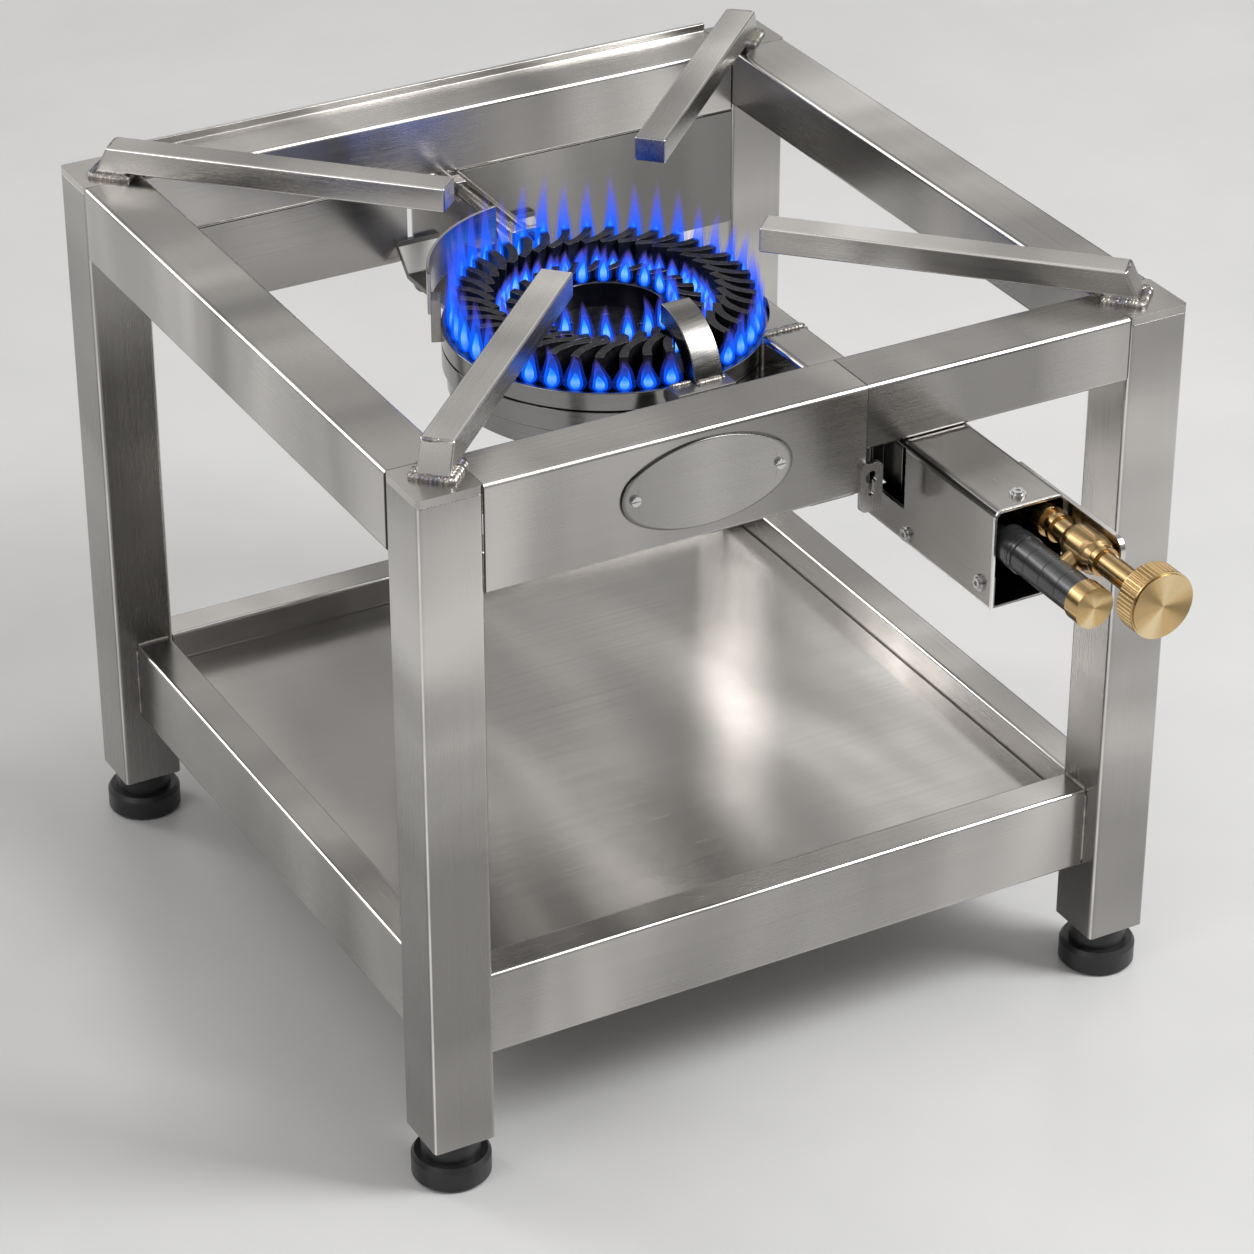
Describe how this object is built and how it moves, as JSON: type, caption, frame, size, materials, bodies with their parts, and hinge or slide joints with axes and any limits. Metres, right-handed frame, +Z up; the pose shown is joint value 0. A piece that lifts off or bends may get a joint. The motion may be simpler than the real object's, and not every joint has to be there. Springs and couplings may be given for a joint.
{
  "type": "single burner stove",
  "caption": "Square stainless steel gas stove on four legs, with pan bars, a round finned burner, a front valve with brass knob, and a shelf below.",
  "frame": {"origin": "on the floor under the middle of the overall outline, valve included", "axes": "+Z up; -Y is the front, where the operator stands and the knob points; +X is the operator's right"},
  "size_m": [0.508, 0.711, 0.485],
  "materials": {
    "frame_steel": "brushed stainless",
    "shelf_steel": "brushed stainless",
    "bar_steel": "brushed stainless with heat tint at the tips",
    "weld_steel": "raw weld",
    "burner_steel": "brushed stainless",
    "burner_body": "machined dark casting",
    "black_iron": "black casting",
    "cover_steel": "brushed stainless",
    "plate_steel": "fine brushed stainless",
    "screw_steel": "polished stainless",
    "brass": "turned brass",
    "barrel_grey": "dark grey, satin",
    "insert_plastic": "matte black",
    "foot_rubber": "satin black"
  },
  "bodies": {
    "frame": {"leg_front_left": "frame_steel", "leg_front_right": "frame_steel", "leg_back_left": "frame_steel", "leg_back_right": "frame_steel", "corner_cap_front_left": "frame_steel", "corner_cap_front_right": "frame_steel", "corner_cap_back_left": "frame_steel", "corner_cap_back_right": "frame_steel", "left_rail": "frame_steel", "right_rail": "frame_steel", "back_rail": "frame_steel", "front_apron": "frame_steel", "front_rail": "frame_steel", "back_panel": "frame_steel", "rear_shield": "frame_steel", "shelf_rail_front": "shelf_steel", "shelf_rail_back": "shelf_steel", "shelf_rail_left": "shelf_steel", "shelf_rail_right": "shelf_steel", "shelf_floor": "shelf_steel", "pan_bar_front_left": "bar_steel", "pan_bar_front_right": "bar_steel", "pan_bar_back_left": "bar_steel", "pan_bar_back_right": "bar_steel", "bar_welds": "weld_steel", "burner_strap_left": "burner_steel", "burner_strap_right": "burner_steel", "burner_base": "burner_body", "outer_crown": "black_iron", "inner_crown": "black_iron", "rosette": "black_iron", "burner_clamp": "burner_steel", "clamp_block": "burner_steel", "wind_shield": "burner_steel", "pilot_tube": "brass", "pilot_nut": "brass", "pilot_clip": "burner_steel", "burner_neck": "burner_steel", "gas_channel": "burner_steel", "mixing_tube": "burner_steel", "injector": "brass", "valve_cover": "cover_steel", "valve_tray": "cover_steel", "cover_screws": "screw_steel", "valve_guard": "cover_steel", "keyhole_bracket": "cover_steel", "name_plate": "plate_steel", "plate_screws": "screw_steel", "gas_inlet": "brass", "supply_pipe": "brass", "valve_body": "brass", "barrel": "barrel_grey", "leg_inserts": "insert_plastic"},
    "knob": {"knob": "brass", "spindle": "brass"},
    "button": {"button": "brass"},
    "foot_front_left": {"foot_front_left": "foot_rubber"},
    "foot_front_right": {"foot_front_right": "foot_rubber"},
    "foot_back_left": {"foot_back_left": "foot_rubber"},
    "foot_back_right": {"foot_back_right": "foot_rubber"}
  },
  "joints": [
    {"name": "knob_turn", "type": "hinge", "parent": "frame", "child": "knob", "pos_m": [0.091, -0.3415, 0.411], "axis": [0, -1, 0], "range_deg": [0, 270]},
    {"name": "button_press", "type": "slide", "parent": "frame", "child": "button", "axis": [0, 1, 0], "range_m": [0, 0.005], "stiffness_N_per_m": 500, "springref_m": -0.008},
    {"name": "foot_screw_front_left", "type": "slide", "parent": "frame", "child": "foot_front_left", "axis": [0, 0, -1], "range_m": [0, 0.015]},
    {"name": "foot_screw_front_right", "type": "slide", "parent": "frame", "child": "foot_front_right", "axis": [0, 0, -1], "range_m": [0, 0.015]},
    {"name": "foot_screw_back_left", "type": "slide", "parent": "frame", "child": "foot_back_left", "axis": [0, 0, -1], "range_m": [0, 0.015]},
    {"name": "foot_screw_back_right", "type": "slide", "parent": "frame", "child": "foot_back_right", "axis": [0, 0, -1], "range_m": [0, 0.015]}
  ]
}
